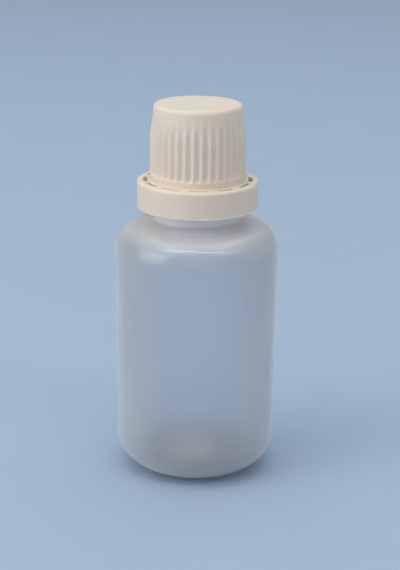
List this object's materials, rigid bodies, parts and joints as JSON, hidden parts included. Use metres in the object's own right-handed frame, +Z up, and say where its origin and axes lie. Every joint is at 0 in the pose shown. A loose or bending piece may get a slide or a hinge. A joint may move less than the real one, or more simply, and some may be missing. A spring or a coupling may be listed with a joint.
{
  "type": "dropper bottle",
  "caption": "Squeezable translucent dropper bottle with round shoulders, a ribbed screw cap and a slotted tamper-evident ring.",
  "frame": {"origin": "centre of the bottle's foot, on the surface that it stands on", "axes": "+Z up along the bottle's axis, -Y towards the front of the picture"},
  "size_m": [0.033, 0.033, 0.0756],
  "materials": {
    "bottle_wall": "translucent natural polyethylene, satin",
    "plug": "translucent natural polyethylene, satin",
    "cap": "warm white moulded plastic, satin",
    "seal": "white closed-cell foam, matt",
    "ring": "warm white moulded plastic, satin"
  },
  "bodies": {
    "bottle": {"bottle": "bottle_wall", "dropper_plug": "plug"},
    "seal": {"seal_disc": "seal"},
    "cap": {"cap": "cap"},
    "tamper_ring": {"tamper_ring": "ring"}
  },
  "joints": [
    {"name": "cap_lift", "type": "slide", "parent": "bottle", "child": "seal", "axis": [0, 0, 1], "range_m": [0, 0.018]},
    {"name": "cap_turn", "type": "hinge", "parent": "seal", "child": "cap", "pos_m": [0, 0, 0.0593], "axis": [0, 0, 1], "range_deg": [0, 2160]},
    {"name": "ring_spin", "type": "hinge", "parent": "bottle", "child": "tamper_ring", "pos_m": [0, 0, 0.0548], "axis": [0, 0, 1], "continuous": true}
  ],
  "couplings": [
    {"joint": "cap_lift", "follows": "cap_turn", "m_per_rad": 0.00047746}
  ]
}
